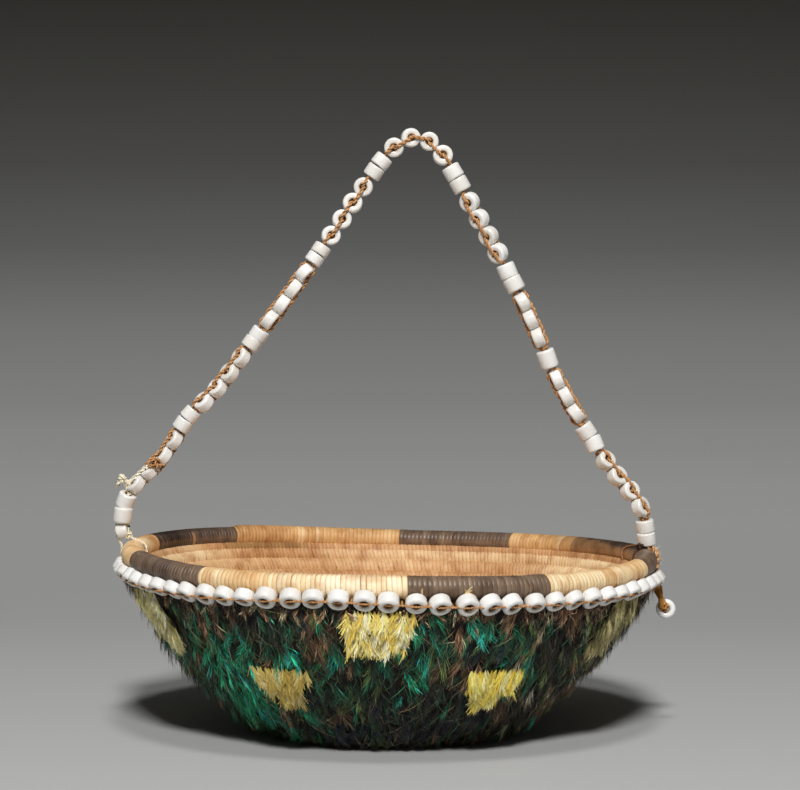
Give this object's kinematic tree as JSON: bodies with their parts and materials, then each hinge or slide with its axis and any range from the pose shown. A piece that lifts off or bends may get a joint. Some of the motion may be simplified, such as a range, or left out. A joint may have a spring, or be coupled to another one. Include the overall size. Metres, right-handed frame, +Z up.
{
  "type": "feathered coiled basket",
  "caption": "Small round coiled bowl basket, covered with feathers outside, with a beaded rim and a tall beaded bail handle that swings over it.",
  "frame": {"origin": "centre of the flat resting face, on the bowl's axis", "axes": "+Z up, the handle stands over the X axis with the loose bead at +X, and -Y is the front"},
  "size_m": [0.138, 0.1366, 0.1473],
  "materials": {
    "light_sedge_root": "satin",
    "dark_dyed_root": "satin",
    "willow_rods": "matte",
    "green_feathers": "satin",
    "yellow_feathers": "matte",
    "white_glass": "gloss",
    "brown_cord": "matte",
    "pale_cord": "matte"
  },
  "bodies": {
    "basket": {"coiled_wall": "light_sedge_root", "feather_course_1": "green_feathers", "feather_course_2": "green_feathers", "feather_course_3": "green_feathers", "feather_course_4": "green_feathers", "feather_course_5": "green_feathers", "handle_tie_left": "pale_cord", "handle_tie_right": "brown_cord", "rim_bead_row": "white_glass", "rim_coil_end": "dark_dyed_root", "rim_knot_right": "brown_cord", "rim_rods": "willow_rods", "rim_wrap_dark_1": "dark_dyed_root", "rim_wrap_dark_2": "dark_dyed_root", "rim_wrap_dark_3": "dark_dyed_root", "rim_wrap_dark_4": "dark_dyed_root", "rim_wrap_dark_5": "dark_dyed_root", "rim_wrap_light_1": "light_sedge_root", "rim_wrap_light_2": "light_sedge_root", "rim_wrap_light_3": "light_sedge_root", "rim_wrap_light_4": "light_sedge_root", "rim_wrap_light_5": "light_sedge_root", "yellow_patch_lower_1": "yellow_feathers", "yellow_patch_lower_2": "yellow_feathers", "yellow_patch_lower_3": "yellow_feathers", "yellow_patch_lower_4": "yellow_feathers", "yellow_patch_lower_5": "yellow_feathers", "yellow_patch_upper_1": "yellow_feathers", "yellow_patch_upper_2": "yellow_feathers", "yellow_patch_upper_3": "yellow_feathers", "yellow_patch_upper_4": "yellow_feathers", "yellow_patch_upper_5": "yellow_feathers"},
    "handle": {"handle_cord_a": "brown_cord", "handle_cord_b": "brown_cord", "handle_cross_beads_10": "white_glass", "handle_cross_beads_2": "white_glass", "handle_cross_beads_3": "white_glass", "handle_cross_beads_4": "white_glass", "handle_cross_beads_5": "white_glass", "handle_cross_beads_6": "white_glass", "handle_cross_beads_7": "white_glass", "handle_cross_beads_8": "white_glass", "handle_cross_beads_9": "white_glass", "handle_foot_bead": "white_glass", "handle_knot_brown": "brown_cord", "handle_knot_pale": "pale_cord", "handle_long_bead": "white_glass", "handle_pair_beads_1": "white_glass", "handle_pair_beads_10": "white_glass", "handle_pair_beads_2": "white_glass", "handle_pair_beads_3": "white_glass", "handle_pair_beads_4": "white_glass", "handle_pair_beads_5": "white_glass", "handle_pair_beads_6": "white_glass", "handle_pair_beads_7": "white_glass", "handle_pair_beads_9": "white_glass"},
    "loose_bead": {"loose_bead": "white_glass", "loose_bead_knot": "brown_cord", "loose_bead_tail": "brown_cord"}
  },
  "joints": [
    {"name": "handle_swing", "type": "hinge", "parent": "basket", "child": "handle", "pos_m": [0, 0, 0.04853], "axis": [1, 0, 0], "range_deg": [-84, 84]},
    {"name": "loose_bead_swing", "type": "hinge", "parent": "basket", "child": "loose_bead", "pos_m": [0.06658, -0.00283, 0.03665], "axis": [0, -1, 0], "range_deg": [-25, 90]}
  ]
}
